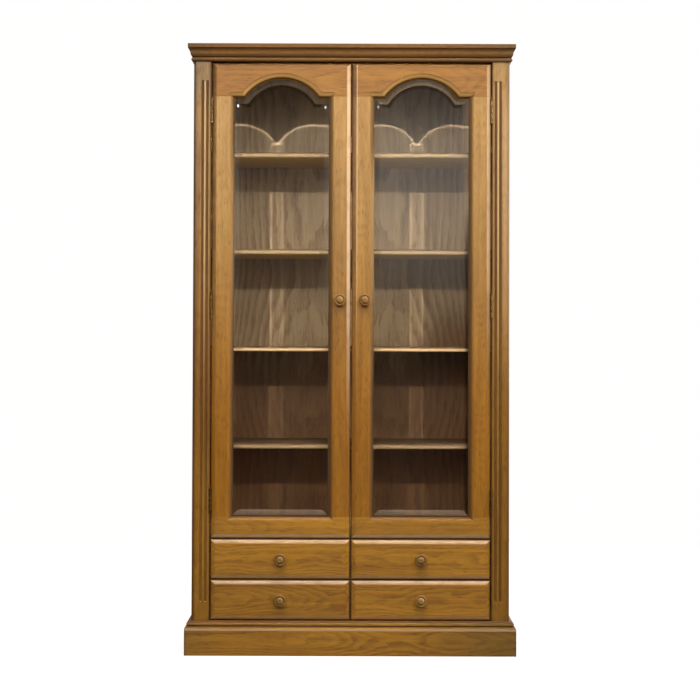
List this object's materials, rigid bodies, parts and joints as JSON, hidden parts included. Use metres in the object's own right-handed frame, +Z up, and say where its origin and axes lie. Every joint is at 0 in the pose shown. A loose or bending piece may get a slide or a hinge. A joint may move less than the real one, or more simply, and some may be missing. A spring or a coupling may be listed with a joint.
{
  "type": "glazed bookcase",
  "caption": "Tall oak bookcase with arched glazed doors over drawers, fluted pilasters, moulded cornice and plinth, and four shelves on pegs.",
  "frame": {"origin": "on the floor, in the middle of the bookcase's outer box", "axes": "+Z up from the floor, +X to the right as seen from the front, the doors and drawers face -Y"},
  "size_m": [1.022, 0.377, 1.89],
  "materials": {
    "oak": "satin, mid brown oak",
    "oak_lining": "matt, brown oak veneer",
    "pale_wood": "bare, pale",
    "clear_glass": "clear, bevelled edge",
    "brass": "aged, satin"
  },
  "bodies": {
    "carcass": {"left_side_panel": "oak", "right_side_panel": "oak", "left_pilaster": "oak", "right_pilaster": "oak", "back_panel": "oak_lining", "top_panel": "oak", "bottom_board": "oak", "cupboard_floor": "oak", "drawer_divider": "oak", "drawer_rails": "oak", "head_rail": "oak", "base_rail": "oak", "plinth_front": "oak", "plinth_returns": "oak", "cornice_front": "oak", "cornice_returns": "oak", "shelf_1": "oak", "shelf_2": "oak", "shelf_3": "oak", "shelf_4": "oak", "shelf_pegs": "brass", "drawer_runners": "pale_wood", "frame_hinge_leaves": "brass", "hinge_pins": "brass", "door_catches": "brass", "glue_blocks": "pale_wood"},
    "left_door": {"left_door_hinge_stile": "oak", "left_door_meeting_stile": "oak", "left_door_top_rail": "oak", "left_door_bottom_rail": "oak", "left_door_glass": "clear_glass", "left_door_glazing_beads": "oak", "left_door_knob": "oak", "left_door_hinge_leaves": "brass", "left_door_strike": "brass"},
    "right_door": {"right_door_hinge_stile": "oak", "right_door_meeting_stile": "oak", "right_door_top_rail": "oak", "right_door_bottom_rail": "oak", "right_door_glass": "clear_glass", "right_door_glazing_beads": "oak", "right_door_knob": "oak", "right_door_hinge_leaves": "brass", "right_door_strike": "brass"},
    "lower_left_drawer": {"lower_left_drawer_front": "oak", "lower_left_drawer_box": "pale_wood", "lower_left_drawer_bottom": "pale_wood", "lower_left_drawer_knob": "oak"},
    "lower_right_drawer": {"lower_right_drawer_front": "oak", "lower_right_drawer_box": "pale_wood", "lower_right_drawer_bottom": "pale_wood", "lower_right_drawer_knob": "oak"},
    "upper_left_drawer": {"upper_left_drawer_front": "oak", "upper_left_drawer_box": "pale_wood", "upper_left_drawer_bottom": "pale_wood", "upper_left_drawer_knob": "oak"},
    "upper_right_drawer": {"upper_right_drawer_front": "oak", "upper_right_drawer_box": "pale_wood", "upper_right_drawer_bottom": "pale_wood", "upper_right_drawer_knob": "oak"}
  },
  "joints": [
    {"name": "left_door_hinge", "type": "hinge", "parent": "carcass", "child": "left_door", "pos_m": [-0.4345, -0.1625, 1.079], "axis": [0, 0, -1], "range_deg": [0, 170]},
    {"name": "right_door_hinge", "type": "hinge", "parent": "carcass", "child": "right_door", "pos_m": [0.4345, -0.1625, 1.079], "axis": [0, 0, 1], "range_deg": [0, 170]},
    {"name": "lower_left_drawer_slide", "type": "slide", "parent": "carcass", "child": "lower_left_drawer", "axis": [0, -1, 0], "range_m": [0, 0.24]},
    {"name": "lower_right_drawer_slide", "type": "slide", "parent": "carcass", "child": "lower_right_drawer", "axis": [0, -1, 0], "range_m": [0, 0.24]},
    {"name": "upper_left_drawer_slide", "type": "slide", "parent": "carcass", "child": "upper_left_drawer", "axis": [0, -1, 0], "range_m": [0, 0.24]},
    {"name": "upper_right_drawer_slide", "type": "slide", "parent": "carcass", "child": "upper_right_drawer", "axis": [0, -1, 0], "range_m": [0, 0.24]}
  ]
}
